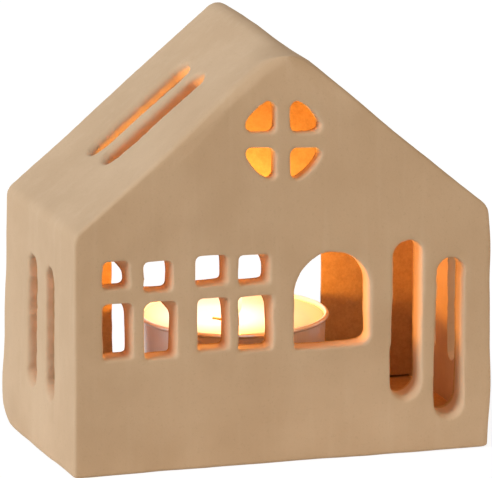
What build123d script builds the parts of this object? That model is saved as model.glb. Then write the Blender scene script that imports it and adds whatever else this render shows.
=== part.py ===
from build123d import *
import math
import os

# Slab-built clay tealight house. Width runs along X, depth along Y with the front wall towards -Y,
# and +Z is up. The origin is on the ground, under the middle of the house. Lengths are millimetres.

# House
HOUSE_WIDTH = 88.0
EAVES_HEIGHT = 50.0
RIDGE_HEIGHT = 85.4
FRONT_WALL = 5.0
BACK_WALL = 7.0
SIDE_WALL = 2.4
ROOF = 2.4
FLOOR = 4.5

# Rounding of the outer edges, and the flat that eases the outer edge of each opening
RIDGE_ROUND = 4.0
EAVES_ROUND = 4.0
FOOT_ROUND = 2.0
GABLE_ROUND = 1.0
OPENING_EASE = 0.8

# Four-pane windows: throat sizes, and the bars left standing between the panes
PANE_WIDTH = 6.0
MULLION = 2.8
UPPER_PANE_HEIGHT = 6.5
LOWER_PANE_HEIGHT = 11.5
TRANSOM = 2.2
PANE_CORNER = 1.0

# Arched window
ARCH_WIDTH = 15.3
ARCH_HEIGHT = 19.0
ARCH_CORNER = 1.2

# Tall slots of the front wall: the outer one starts just above the floor, the inner one a step higher
FRONT_SLOT_WIDTH = 6.3
FRONT_SLOT_LENGTH = 32.3
FRONT_SLOT_RISE = 3.0
FRONT_SLOT_STEP = 4.3

# Quartered roundel in the front gable
ROUNDEL_DIAMETER = 17.2
ROUNDEL_BAR = 3.1
ROUNDEL_CORNER = 0.9
ROUNDEL_MARGIN = 3.6

# Slots of the side walls and of the roof slabs, two in each
SIDE_SLOT_WIDTH = 5.3
SIDE_SLOT_LENGTH = 26.5
WALL_SLOT_SPACING = 11.6
ROOF_SLOT_SPACING = 9.5

# Doorway in the back wall, through which the tealight goes in
DOORWAY_CLEARANCE = 3.4
DOORWAY_HEIGHT = 39.5
DOORWAY_CORNER = 9.0

# Tealight: a drawn foil cup with a rolled rim, and where it stands in the house
CUP_HEIGHT = 20.5
CUP_BASE_DIAMETER = 36.4
CUP_MOUTH_DIAMETER = 37.9
CUP_CORNER = 1.5
FOIL = 0.35
RIM_ROLL = 1.0
TEALIGHT_FRONT_CLEARANCE = 3.4
TEALIGHT_BACK_CLEARANCE = 0.4
TEALIGHT_ASIDE = 1.4

# Wax, with the dip of its melted top
WAX_CLEARANCE = 0.25
WAX_DROP = 1.8
WAX_DIP = 0.4
WAX_CORNER = 1.6

# Wick and the pressed plate that holds it upright in the wax
WICK_DIAMETER = 1.3
WICK_STAND = 0.2
WICK_BEND_RADIUS = 1.2
WICK_BEND_DEGREES = 80.0
WICK_TIP = 2.5
PLATE_DIAMETER = 13.0
PLATE_THICKNESS = 0.3
NECK_DIAMETER = 2.6
NECK_HEIGHT = 3.6
WICK_CLEARANCE = 0.08

# How far a cutter runs past the clay that it cuts, and how close two shapes are that touch
OVERRUN = 1.0
TOUCH = 0.001

# A round piece that stands on its own centre
STANDING = (Align.CENTER, Align.CENTER, Align.MIN)

# Shares, chosen by eye: the gaps along the front wall from left to right, and the heights of the window
# centres within the eaves height
FRONT_GAP_SHARES = (0.140, 0.183, 0.241, 0.189, 0.124, 0.123)
WINDOW_CENTRE_SHARE = 0.692
ARCH_CENTRE_SHARE = 0.667
# Rounded and eased edges keep inside what carries them
ROUND_LIMIT_SHARE = 0.9
BAR_LIMIT_SHARE = 0.4

# Tealight radii, and the depth of the house that they give
base_radius = CUP_BASE_DIAMETER / 2
mouth_radius = CUP_MOUTH_DIAMETER / 2
rim_radius = mouth_radius - FOIL + RIM_ROLL
house_depth = FRONT_WALL + TEALIGHT_FRONT_CLEARANCE + 2 * rim_radius + TEALIGHT_BACK_CLEARANCE
front_face = -house_depth / 2
back_face = house_depth / 2
tealight_place = Pos(-TEALIGHT_ASIDE, back_face - TEALIGHT_BACK_CLEARANCE - rim_radius, FLOOR)

# Inside of the house
pitch = math.atan2(RIDGE_HEIGHT - EAVES_HEIGHT, HOUSE_WIDTH / 2)
clear_half_width = HOUSE_WIDTH / 2 - SIDE_WALL
clear_ridge = RIDGE_HEIGHT - ROOF / math.cos(pitch)
clear_eaves = clear_ridge - clear_half_width * math.tan(pitch)
clear_front = front_face + FRONT_WALL
clear_back = back_face - BACK_WALL

# Window sizes, and the clay left beside and between the openings of the front wall
window_width = 2 * PANE_WIDTH + MULLION
window_height = LOWER_PANE_HEIGHT + TRANSOM + UPPER_PANE_HEIGHT
front_spare = 2 * clear_half_width - 2 * window_width - ARCH_WIDTH - 2 * FRONT_SLOT_WIDTH
thinnest_pier = front_spare * min(FRONT_GAP_SHARES[1:-1])
thinnest_bar = min(MULLION, TRANSOM, ROUNDEL_BAR, thinnest_pier)
opening_ease = min(OPENING_EASE, BAR_LIMIT_SHARE * thinnest_bar)
gable_round = min(GABLE_ROUND, ROUND_LIMIT_SHARE * min(FOOT_ROUND, EAVES_ROUND, RIDGE_ROUND))


def outer_block():
    """The house as one solid block with its outer edges rounded."""
    half_width = HOUSE_WIDTH / 2
    foot = [(-half_width, 0), (half_width, 0)]
    gable = [(half_width, EAVES_HEIGHT), (0, RIDGE_HEIGHT), (-half_width, EAVES_HEIGHT)]
    outline = make_face(Polyline(*foot, *gable, close=True))
    outline = fillet(outline.vertices().group_by(Axis.Y)[0], FOOT_ROUND)
    eaves = outline.vertices().filter_by(lambda vertex: math.isclose(vertex.Y, EAVES_HEIGHT))
    outline = fillet(eaves, EAVES_ROUND)
    outline = fillet(outline.vertices().sort_by(Axis.Y)[-1], RIDGE_ROUND)
    block = extrude(Plane.XZ * outline, amount=house_depth / 2, both=True)
    gables = block.faces().sort_by(Axis.Y)
    return fillet(gables[0].edges() + gables[-1].edges(), gable_round)


def window_panes():
    """Two columns of panes, a short one above a long one, centred on the origin."""
    column = (PANE_WIDTH + MULLION) / 2
    lower = (LOWER_PANE_HEIGHT - window_height) / 2
    upper = (window_height - UPPER_PANE_HEIGHT) / 2
    panes = Sketch()
    for x in (-column, column):
        panes += Pos(x, lower) * RectangleRounded(PANE_WIDTH, LOWER_PANE_HEIGHT, PANE_CORNER)
        panes += Pos(x, upper) * RectangleRounded(PANE_WIDTH, UPPER_PANE_HEIGHT, PANE_CORNER)
    return panes


def arch():
    """Round-headed window, centred on the origin."""
    radius = ARCH_WIDTH / 2
    head = Pos(0, ARCH_HEIGHT / 2 - radius) * Circle(radius)
    opening = head + Pos(0, -radius / 2) * Rectangle(ARCH_WIDTH, ARCH_HEIGHT - radius)
    return fillet(opening.vertices().group_by(Axis.Y)[0], ARCH_CORNER)


def upright_slot(length, width):
    """Slot with round ends, its length along Y."""
    return Rot(0, 0, 90) * SlotOverall(length, width)


def roundel():
    """Disc with a cross of bars left standing in it."""
    disc = Circle(ROUNDEL_DIAMETER / 2)
    disc -= Rectangle(ROUNDEL_DIAMETER + OVERRUN, ROUNDEL_BAR)
    disc -= Rectangle(ROUNDEL_BAR, ROUNDEL_DIAMETER + OVERRUN)
    return fillet(disc.vertices(), ROUNDEL_CORNER)


def doorway():
    """Doorway with rounded upper corners, its sill on the origin."""
    opening = Rectangle(2 * (rim_radius + DOORWAY_CLEARANCE), DOORWAY_HEIGHT, align=(Align.CENTER, Align.MIN))
    return fillet(opening.vertices().group_by(Axis.Y)[-1], DOORWAY_CORNER)


def cut_through(sketch, plane, thickness):
    """Cutter that takes a sketch on a slab's outer face right through the slab."""
    return extrude(plane * sketch, amount=thickness + OVERRUN, both=True)


def front_openings():
    """The front wall's openings in a row, with what they leave of the width shared out between them."""
    slot = upright_slot(FRONT_SLOT_LENGTH, FRONT_SLOT_WIDTH)
    slot_centre = FLOOR + FRONT_SLOT_RISE + FRONT_SLOT_LENGTH / 2
    window_centre = WINDOW_CENTRE_SHARE * EAVES_HEIGHT
    row = [
        (window_panes(), window_width, window_centre),
        (window_panes(), window_width, window_centre),
        (arch(), ARCH_WIDTH, ARCH_CENTRE_SHARE * EAVES_HEIGHT),
        (slot, FRONT_SLOT_WIDTH, slot_centre + FRONT_SLOT_STEP),
        (slot, FRONT_SLOT_WIDTH, slot_centre),
    ]
    face = Plane(origin=(0, front_face, 0), x_dir=(1, 0, 0), z_dir=(0, -1, 0))
    cutters = []
    left = -clear_half_width
    for (sketch, width, height), gap_share in zip(row, FRONT_GAP_SHARES):
        left += gap_share * front_spare
        cutters.append(cut_through(Pos(left + width / 2, height) * sketch, face, FRONT_WALL))
        left += width
    roundel_height = clear_ridge - (ROUNDEL_DIAMETER / 2 + ROUNDEL_MARGIN) / math.cos(pitch)
    cutters.append(cut_through(Pos(0, roundel_height) * roundel(), face, FRONT_WALL))
    return cutters


def side_slots(spacing):
    """Pair of slots for a side wall or a roof slab, centred on the origin."""
    slot = upright_slot(SIDE_SLOT_LENGTH, SIDE_SLOT_WIDTH)
    return Pos(-spacing / 2, 0) * slot + Pos(spacing / 2, 0) * slot


def slab_region(corners, front, back):
    """Space of a slab: an outline in X and Z, from one depth to another."""
    outline = make_face(Polyline(*corners, close=True))
    return Pos(0, (front + back) / 2, 0) * extrude(Plane.XZ * outline, amount=(back - front) / 2, both=True)


def opened(slab, cutters, outward):
    """The slab with its openings cut and their outer edges eased."""
    for cutter in cutters:
        slab -= cutter
    faces = slab.faces().filter_by(GeomType.PLANE)
    outer_face = max(faces, key=lambda face: face.center().dot(Vector(*outward)))
    rims = []
    for edge in outer_face.edges():
        if any(cutter.distance_to(edge @ 0.5) < TOUCH for cutter in cutters):
            rims.append(edge)
    return chamfer(rims, opening_ease)


def floor_and_gables(block):
    """The floor slab, and the front and back walls that stand on it over the full width."""
    beyond = HOUSE_WIDTH + RIDGE_HEIGHT
    below = [(-beyond, -beyond), (beyond, -beyond), (beyond, FLOOR), (-beyond, FLOOR)]
    above = [(-beyond, FLOOR), (beyond, FLOOR), (beyond, beyond), (-beyond, beyond)]
    back_plane = Plane(origin=(0, back_face, FLOOR), x_dir=(-1, 0, 0), z_dir=(0, 1, 0))
    front = block & slab_region(above, -beyond, clear_front)
    back = block & slab_region(above, clear_back, beyond)
    return {
        "floor_slab": block & slab_region(below, -beyond, beyond),
        "front_wall": opened(front, front_openings(), (0, -1, 0)),
        "back_wall": opened(back, [cut_through(doorway(), back_plane, BACK_WALL)], (0, 1, 0)),
    }


def side_wall(block, side):
    """Side wall between the gable walls, from the floor to the roof slab: side is -1 left and 1 right."""
    inner = side * clear_half_width
    outer = side * HOUSE_WIDTH
    corners = [(outer, FLOOR), (inner, FLOOR), (inner, clear_eaves), (outer, clear_eaves)]
    slab = block & slab_region(corners, clear_front, clear_back)
    middle = (side * HOUSE_WIDTH / 2, 0, (FLOOR + clear_eaves) / 2)
    face = Plane(middle, x_dir=(0, side, 0), z_dir=(side, 0, 0))
    slots = cut_through(side_slots(WALL_SLOT_SPACING), face, SIDE_WALL)
    return opened(slab, [slots], (side, 0, 0))


def roof_slabs(block):
    """Roof slabs between the gable walls, on the side walls. The right one laps over the left one's top."""
    beyond = HOUSE_WIDTH + RIDGE_HEIGHT
    lap = 2 * ROOF / math.sin(2 * pitch)
    lap_end = (-lap * math.cos(pitch), clear_ridge + lap * math.sin(pitch))
    right_eaves = [(clear_half_width, clear_eaves), (beyond, clear_eaves)]
    right = [*right_eaves, (beyond, beyond), (lap_end[0], beyond), lap_end]
    left_eaves = [(-beyond, clear_eaves), (-clear_half_width, clear_eaves)]
    left = [*left_eaves, (0, clear_ridge), lap_end, (-beyond, lap_end[1])]
    slabs = {}
    for name, corners, side in (("left_roof", left, -1), ("right_roof", right, 1)):
        slab = block & slab_region(corners, clear_front, clear_back)
        outward = (side * math.sin(pitch), 0, math.cos(pitch))
        middle = (side * HOUSE_WIDTH / 4, 0, (EAVES_HEIGHT + RIDGE_HEIGHT) / 2)
        face = Plane(middle, x_dir=(0, side, 0), z_dir=outward)
        slots = cut_through(side_slots(ROOF_SLOT_SPACING), face, ROOF)
        slabs[name] = opened(slab, [slots], outward)
    return slabs


def clay_slabs():
    """The seven slabs of the house, butted together and rounded as one."""
    block = outer_block()
    slabs = floor_and_gables(block)
    slabs["left_wall"] = side_wall(block, -1)
    slabs["right_wall"] = side_wall(block, 1)
    slabs.update(roof_slabs(block))
    return slabs


def wax_radius(height):
    """Radius of the wax at a height in the cup, a clearance inside its tapered wall."""
    taper = (mouth_radius - base_radius) / (CUP_HEIGHT - RIM_ROLL)
    return base_radius + taper * height - FOIL - WAX_CLEARANCE


def foil_cup():
    """Tapered cup with a rounded heel and a rim rolled outwards into a round bead."""
    roll_radius = RIM_ROLL / 2
    roll_height = CUP_HEIGHT - roll_radius
    under_roll = (mouth_radius, roll_height - math.sqrt(roll_radius**2 - (roll_radius - FOIL) ** 2))
    roll = ThreePointArc(under_roll, (rim_radius, roll_height), (mouth_radius - FOIL, roll_height))
    outside = Polyline((0, 0), (base_radius, 0), under_roll)
    inside = Polyline(roll @ 1, (base_radius - FOIL, FOIL), (0, FOIL), (0, 0))
    section = make_face(Curve() + [outside, roll, inside])
    heel = section.vertices().filter_by(lambda vertex: math.isclose(vertex.X, base_radius))
    section = fillet(heel, CUP_CORNER)
    inner_heel = section.vertices().filter_by(lambda vertex: math.isclose(vertex.X, base_radius - FOIL))
    section = fillet(inner_heel, CUP_CORNER - FOIL)
    return revolve(Plane.XZ * section, Axis.Z)


def wick_space():
    """Room in the wax for the plate, its neck and the wick."""
    plate_top = FOIL + PLATE_THICKNESS + WICK_CLEARANCE
    neck_top = FOIL + NECK_HEIGHT + WICK_CLEARANCE
    plate = Cylinder(PLATE_DIAMETER / 2 + WICK_CLEARANCE, plate_top, align=STANDING)
    neck = Cylinder(NECK_DIAMETER / 2 + WICK_CLEARANCE, neck_top, align=STANDING)
    bore = Cylinder(WICK_DIAMETER / 2 + WICK_CLEARANCE, CUP_HEIGHT, align=STANDING)
    return plate + neck + bore


def wax():
    """Wax that fills the cup to below its rim, with a dished top where it has melted."""
    edge = (wax_radius(CUP_HEIGHT - WAX_DROP), CUP_HEIGHT - WAX_DROP)
    middle = (0, CUP_HEIGHT - WAX_DROP - WAX_DIP)
    pool = TangentArc(middle, edge, tangent=(1, 0))
    heel = (wax_radius(FOIL), FOIL)
    sides = Polyline(edge, heel, (0, FOIL), middle)
    section = make_face(Curve() + [pool, sides])
    corner = section.vertices().filter_by(lambda vertex: math.isclose(vertex.X, heel[0]))
    section = fillet(corner, WAX_CORNER)
    return revolve(Plane.XZ * section, Axis.Z) - wick_space()


def wick():
    """Wick from the plate up through the wax, bent over to the left above it."""
    foot = (0, FOIL)
    bend_start = (0, CUP_HEIGHT - WAX_DROP - WAX_DIP + WICK_STAND)
    bend = JernArc(bend_start, (0, 1), WICK_BEND_RADIUS, WICK_BEND_DEGREES)
    tip = Line(bend @ 1, (bend @ 1) + (bend % 1) * WICK_TIP)
    path = Plane.XZ * (Curve() + [Line(foot, bend_start), bend, tip])
    return sweep(Pos(0, 0, FOIL) * Circle(WICK_DIAMETER / 2), path=path.wire())


def wick_sustainer():
    """Pressed plate with a neck that grips the wick."""
    bore = WICK_DIAMETER / 2 + WICK_CLEARANCE
    plate = Pos(0, 0, FOIL) * Cylinder(PLATE_DIAMETER / 2, PLATE_THICKNESS, align=STANDING)
    neck = Pos(0, 0, FOIL) * Cylinder(NECK_DIAMETER / 2, NECK_HEIGHT, align=STANDING)
    return plate + neck - Cylinder(bore, CUP_HEIGHT, align=STANDING)


nodes = clay_slabs()
for piece in (foil_cup, wax, wick, wick_sustainer):
    nodes[piece.__name__] = tealight_place * piece()

os.makedirs("parts", exist_ok=True)
for name, solid in nodes.items():
    export_step(solid, f"parts/{name}.step")
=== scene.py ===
import math

import bmesh
import bpy
from mathutils import Matrix, Vector, noise


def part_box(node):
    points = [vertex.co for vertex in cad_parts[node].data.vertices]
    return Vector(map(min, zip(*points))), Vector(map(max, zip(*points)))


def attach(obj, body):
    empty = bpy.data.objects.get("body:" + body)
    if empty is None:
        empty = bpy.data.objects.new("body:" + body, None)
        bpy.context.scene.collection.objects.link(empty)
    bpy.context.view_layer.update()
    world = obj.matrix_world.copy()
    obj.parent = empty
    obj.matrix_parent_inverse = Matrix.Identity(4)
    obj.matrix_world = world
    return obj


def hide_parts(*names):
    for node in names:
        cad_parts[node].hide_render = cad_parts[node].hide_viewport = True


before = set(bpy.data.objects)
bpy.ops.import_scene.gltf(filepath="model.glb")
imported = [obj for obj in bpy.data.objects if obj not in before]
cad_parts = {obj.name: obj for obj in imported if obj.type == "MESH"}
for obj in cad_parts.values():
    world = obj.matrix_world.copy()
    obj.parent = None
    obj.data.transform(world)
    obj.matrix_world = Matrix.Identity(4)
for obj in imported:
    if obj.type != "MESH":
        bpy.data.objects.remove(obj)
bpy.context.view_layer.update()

# Hand-built clay tealight house with a burning tealight in it. Lengths are metres, and MM turns
# millimetres into them. The front wall faces -Y and +Z is up, as in the frame.
MM = 0.001

# Slabs, from the frame
floor_low, floor_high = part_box("floor_slab")
wall_low, wall_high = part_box("left_wall")
HALF_WIDTH = floor_high[0]
FRONT = floor_low[1]
BACK = floor_high[1]
FLOOR_TOP = floor_high[2]
CLEAR_HALF_WIDTH = -wall_high[0]
FRONT_INNER = wall_low[1]
BACK_INNER = wall_high[1]
CLEAR_EAVES = wall_high[2]
FRONT_WALL = FRONT_INNER - FRONT
BACK_WALL = BACK - BACK_INNER
SIDE_WALL = HALF_WIDTH - CLEAR_HALF_WIDTH

# Outer corners of the house before rounding, and how far the potter's ridge strays from the middle
EAVES = 50.0 * MM
RIDGE = 86.3 * MM
RIDGE_ASIDE_FRONT = 1.5 * MM
RIDGE_ASIDE_BACK = 1.4 * MM
RIDGE_RISE_BACK = 0.5 * MM
RIDGE_ROUND = 2.6 * MM
RIDGE_ROUND_FRONT = 9.5 * MM
EAVES_ROUND = 1.6 * MM
FOOT_ROUND = 0.8 * MM
GABLE_ROUND = 0.5 * MM
PITCH = math.atan2(RIDGE - EAVES, HALF_WIDTH)

# Clay over the hollow at the ridge, and how much thicker the roof is than its solid, on the inside
RIDGE_CLAY = 2.0 * MM
ROOF_EXTRA = 1.2 * MM
CLEAR_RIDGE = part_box("right_roof")[1][2] - RIDGE_CLAY - ROOF_EXTRA / math.cos(PITCH)

# Panes of the two windows, in millimetres: left edge, foot, width, height, the radius of the head's left
# corner, and how far its right corner is pulled in on the inside
PANES = (
    (-37.8, 38.9, 5.3, 5.3, 0.1, 1.5),
    (-29.1, 37.7, 5.5, 5.9, 0.1, 0.1),
    (-18.2, 38.1, 6.3, 5.9, 0.1, 0.1),
    (-9.3, 37.6, 6.3, 6.0, 0.3, 0.8),
    (-37.9, 24.4, 6.0, 11.1, 0.1, 0.8),
    (-29.1, 23.9, 6.5, 11.3, 1.5, 1.6),
    (-18.0, 24.6, 6.4, 10.6, 0.8, 0.5),
    (-9.3, 24.0, 7.0, 11.1, 0.3, 0.9),
)
PANE_FOOT_CORNER = 0.4 * MM
PANE_HEAD_CORNER = 0.9 * MM
PULL_REACH = 2.0 * MM

# Arch, tall slots (the middle, the foot and half the width of each) and roundel
ARCH_LEFT = 2.5 * MM
ARCH_FOOT = 23.3 * MM
ARCH_WIDTH = 15.9 * MM
ARCH_HEIGHT = 19.6 * MM
ARCH_LEFT_CORNER = 0.4 * MM
ARCH_RIGHT_CORNER = 2.2 * MM
ARCH_HEAD_CORNER = 7.8 * MM
TALL_SLOTS = ((26.3 * MM, 11.8 * MM, 3.1 * MM), (35.3 * MM, 7.5 * MM, 2.75 * MM))
TALL_SLOT_LENGTH = 32.4 * MM
SLOT_LEAN = 0.02
SLOT_LEAN_ABOUT = 16 * MM
ROUND_END = 0.99
ROUNDEL_HEIGHT = 66.5 * MM
ROUNDEL_RADIUS = 8.6 * MM
ROUNDEL_BAR = 3.1 * MM
ROUNDEL_CORNER = 1.4 * MM

# Slots of the side walls and of the roof: the middle of each pair, and how far either slot is from it
SIDE_SLOT_WIDTH = 5.3 * MM
SIDE_SLOT_LENGTH = 26.5 * MM
RIGHT_SLOT_LESS = 0.4 * MM
ROOF_SLOT_MORE = 0.5 * MM
WALL_SLOTS_ALONG = -0.8 * MM
WALL_SLOTS_HEIGHT = 26.6 * MM
WALL_SLOTS_STAGGER = 0.4 * MM
WALL_SLOT_APART = 5.8 * MM
ROOF_SLOTS_ASIDE = 21.2 * MM
ROOF_SLOTS_ALONG = 1.0 * MM
ROOF_SLOT_APART = 4.75 * MM

# Doorway in the back wall
DOORWAY_WIDTH = 44.8 * MM
DOORWAY_HEIGHT = 41.0 * MM
DOORWAY_CORNER = 9.0 * MM
DOORWAY_ASIDE = -0.7 * MM
DOORWAY_FLARE = 2.9 * MM
DOORWAY_HEAD_FLARE = 0.8 * MM
SILL_DROP = 0.4 * MM

# Cutters run past the clay on both sides, and their outlines waver
CUT_PAST = 1.0 * MM
OUTLINE_STEP = 0.5 * MM
WAVER_LENGTH = 3.4 * MM
WAVER = 0.17 * MM
RAGGED_LENGTH = 1.3 * MM
WALL_RAGGED = 0.34 * MM
ROOF_RAGGED = 0.17 * MM

# How far openings are eased on the outside and undercut on the inside: to their left, right, foot and head
EASE_DEPTH = 1.3 * MM
WINDOW_EASE = (0, 0.25 * MM, 0.25 * MM, 0)
TALL_SLOT_EASE = (0, 0.3 * MM, 1.0 * MM, 0)
ROUNDEL_EASE = (0, 0.2 * MM, 0.2 * MM, 0)
WALL_SLOT_EASE = (0.2 * MM, 0.2 * MM, 0.8 * MM, 0.5 * MM)
ROOF_SLOT_EASE = (1.3 * MM, 0.3 * MM, 0.8 * MM, 0.5 * MM)
NO_UNDERCUT = (0, 0, 0, 0)
ARCH_UNDERCUT = (0, 0.4 * MM, 0, 0)
ROUNDEL_UNDERCUT = (0, 0.9 * MM, 0.9 * MM, 0)
ROOF_UNDERCUT = 0.7 * MM

# How finely the clay is modelled, and the waves that hands left in it, each with its length and depth
CLAY_VOXEL = 0.42 * MM
SOFTENING = 0.5
SOFTENING_PASSES = 5
WAVES = ((26.0 * MM, 0.30 * MM), (9.0 * MM, 0.11 * MM), (3.2 * MM, 0.03 * MM))
SHARP_ANGLE = math.radians(40)

# Worn edges: their radii, and where along X or Y the wear sets in and is full
GABLE_WEAR = 3.0 * MM
GABLE_WEAR_LEFT = (-32 * MM, -4 * MM)
GABLE_WEAR_RIGHT = (16 * MM, 2 * MM)
CORNER_WEAR = 7.4 * MM
CORNER_WEAR_FADE = (-26 * MM, -42 * MM)
RIDGE_FADE = (4 * MM, FRONT)

# Swellings, in millimetres: how far, and the middle and the reach along X or Z
LEFT_SWELLS = ((1.5, 8, 9), (0.65, 24, 9))
LEFT_FOOT_SWELLS = ((0.6, 1, 7),)
RIGHT_SWELLS = ((0.7, 24, 18), (0.4, 42, 6), (0.35, 14, 5))
RIGHT_WALL_SWELL = RIGHT_SWELLS[0][0] * MM
ROOF_BULGES = ((1.0, -11, 9),)
RIGHT_DENTS = ((0.5, 24, 16),)
LEFT_FOOT_ALONG = -3 * MM
LEFT_FOOT_REACH = 10 * MM

# Other changes of form, in millimetres
LEFT_DENT = 0.5
RIGHT_FOOT_TUCK = 0.6
FOOT_SPREAD = 2.2
FOOT_TUCK = 0.6
GABLE_LEAN = 1.3

# Where along X, Y or Z the changes of form set in and are full
SIDE_FADE = (34 * MM, 43 * MM)
BACK_FADE = (-4 * MM, 20 * MM)
FRONT_FADE = (-14 * MM, -22 * MM)
FOOT_FADE = (22 * MM, 0)
RIGHT_FOOT_FADE = (12 * MM, 0)
SPREAD_FADE = (-10 * MM, 44 * MM)
TUCK_FADE = (-10 * MM, -24 * MM)
LEAN_FADE = (72 * MM, 85 * MM)
ROOF_FADE = (46 * MM, 52 * MM)
BULGE_FADE = (2 * MM, FRONT)
LEFT_DENT_FADE = (-17 * MM, -29 * MM)

# Open seam between the back wall and the floor
SEAM_GAP = 0.45 * MM
SEAM_DEPTH = 3.0 * MM


# Making meshes


def new_object(name, bm, material):
    """Puts a finished bmesh in the scene as an object, smooth but for its sharp edges."""
    mesh = bpy.data.meshes.new(name)
    for face in bm.faces:
        face.smooth = True
    bm.to_mesh(mesh)
    bm.free()
    mesh.set_sharp_from_angle(angle=SHARP_ANGLE)
    piece = bpy.data.objects.new(name, mesh)
    bpy.context.scene.collection.objects.link(piece)
    if material:
        mesh.materials.append(material)
    return piece


def bevel(bm, edges, offset, segments):
    """Rounds edges."""
    bmesh.ops.bevel(
        bm,
        geom=list(edges),
        offset=offset,
        segments=segments,
        profile=0.5,
        affect="EDGES",
        material=-1,
        clamp_overlap=True,
    )


def moved(bm, offset, verts=None):
    """Moves a bmesh, or some of its vertices."""
    bmesh.ops.translate(bm, verts=verts or bm.verts, vec=offset)


def joined(parts):
    """One bmesh made of several, which are used up."""
    whole = bmesh.new()
    for part in parts:
        mesh = bpy.data.meshes.new("part")
        part.to_mesh(mesh)
        part.free()
        whole.from_mesh(mesh)
        bpy.data.meshes.remove(mesh)
    return whole


# Clay house


def house_block():
    """The house as a closed block, with its edges rounded and its ridge a little out of true."""
    bm = bmesh.new()
    corners = ((-HALF_WIDTH, 0), (HALF_WIDTH, 0), (HALF_WIDTH, EAVES), (0, RIDGE), (-HALF_WIDTH, EAVES))
    gable = bm.faces.new([bm.verts.new((x, FRONT, z)) for x, z in corners])
    copied = bmesh.ops.extrude_face_region(bm, geom=[gable])["geom"]
    moved(bm, (0, BACK - FRONT, 0), [part for part in copied if isinstance(part, bmesh.types.BMVert)])
    bmesh.ops.recalc_face_normals(bm, faces=bm.faces)
    for vert in bm.verts:
        if vert.co.z > EAVES + MM:
            vert.co.x = RIDGE_ASIDE_FRONT if vert.co.y < 0 else RIDGE_ASIDE_BACK
            vert.co.z += 0 if vert.co.y < 0 else RIDGE_RISE_BACK
    long_edges = [edge for edge in bm.edges if abs(edge.verts[0].co.y - edge.verts[1].co.y) > MM]
    ridge_edges = [edge for edge in long_edges if edge.verts[0].co.z > EAVES + MM]
    eaves_edges = [edge for edge in long_edges if abs(edge.verts[0].co.z - EAVES) < MM]
    foot_edges = [edge for edge in long_edges if edge.verts[0].co.z < MM]
    bevel(bm, ridge_edges, RIDGE_ROUND, 6)
    bevel(bm, [edge for edge in eaves_edges if edge.is_valid], EAVES_ROUND, 5)
    bevel(bm, [edge for edge in foot_edges if edge.is_valid], FOOT_ROUND, 5)
    rims = [edge for edge in bm.edges if abs(edge.verts[0].co.y - edge.verts[1].co.y) < MM]
    bevel(bm, rims, GABLE_ROUND, 4)
    return bm


def rounded(corners):
    """Closed outline through corners given as x, z and radius, with points close together along it."""
    ends = []
    for index, (x, z, radius) in enumerate(corners):
        corner = Vector((x, z))
        before = (Vector(corners[index - 1][:2]) - corner).normalized()
        after = (Vector(corners[(index + 1) % len(corners)][:2]) - corner).normalized()
        half_angle = before.angle(after) / 2
        middle = corner + (before + after).normalized() * radius / math.sin(half_angle)
        reach = radius / math.tan(half_angle)
        start = corner + before * reach - middle
        end = corner + after * reach - middle
        steps = max(1, round(radius * (math.pi - 2 * half_angle) / OUTLINE_STEP * 2))
        for step in range(steps + 1):
            turned = start.lerp(end, step / steps)
            ends.append(middle + turned.normalized() * radius if radius else corner)
    outline = []
    for here, there in zip(ends, ends[1:] + ends[:1]):
        steps = max(1, round((there - here).length / OUTLINE_STEP))
        if (there - here).length > MM / 100:
            outline += [here.lerp(there, step / steps) for step in range(steps)]
    return outline


def box_outline(left, foot, width, height, radii):
    """Outline of an upright opening. Its corner radii run from the left foot round to the left head."""
    right = left + width
    head = height + foot
    corners = ((left, foot), (right, foot), (right, head), (left, head))
    return rounded([(x, z, radius) for (x, z), radius in zip(corners, radii)])


def quarter_outline(across, up):
    """Outline of a quarter of the roundel, on the side of its cross that the two signs tell."""
    bar = ROUNDEL_BAR / 2
    end = math.asin(bar / ROUNDEL_RADIUS)
    last = 5
    rim = []
    for step in range(last + 1):
        angle = end + (math.pi / 2 - 2 * end) * step / last
        corner = ROUNDEL_CORNER if step in (0, last) else 0
        rim.append((math.cos(angle) * ROUNDEL_RADIUS, math.sin(angle) * ROUNDEL_RADIUS, corner))
    corners = [(bar, bar, ROUNDEL_CORNER)] + rim
    return rounded([(across * x, ROUNDEL_HEIGHT + up * height, corner) for x, height, corner in corners])


def wavering(outline, length, size):
    """The outline as a hand cuts it, straying by a size over a length."""
    return [point + noise.noise_vector(Vector((*point, 0)) / length).xy * size for point in outline]


def grown(outline, left, right, down, up, pull=0):
    """The outline with each of its sides moved outwards, and its right head corner pulled in."""
    low = Vector((min(point.x for point in outline), min(point.y for point in outline)))
    high = Vector((max(point.x for point in outline), max(point.y for point in outline)))
    moved_points = []
    for point in outline:
        x_share = (point.x - low.x) / (high.x - low.x)
        z_share = (point.y - low.y) / (high.y - low.y)
        shift = Vector((right * x_share - left * (1 - x_share), up * z_share - down * (1 - z_share)))
        shift -= Vector((pull, pull)) * swelling((high - point).length, 0, PULL_REACH)
        moved_points.append(point + shift)
    return moved_points


def prism(rings):
    """Closed prism through outlines at several depths, given as depth and outline."""
    bm = bmesh.new()
    loops = [[bm.verts.new((point.x, depth, point.y)) for point in outline] for depth, outline in rings]
    for here, there in zip(loops, loops[1:]):
        for index in range(len(here)):
            bm.faces.new((here[index - 1], here[index], there[index], there[index - 1]))
    bm.faces.new(loops[0])
    bm.faces.new(loops[-1])
    bmesh.ops.recalc_face_normals(bm, faces=bm.faces)
    return bm


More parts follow.
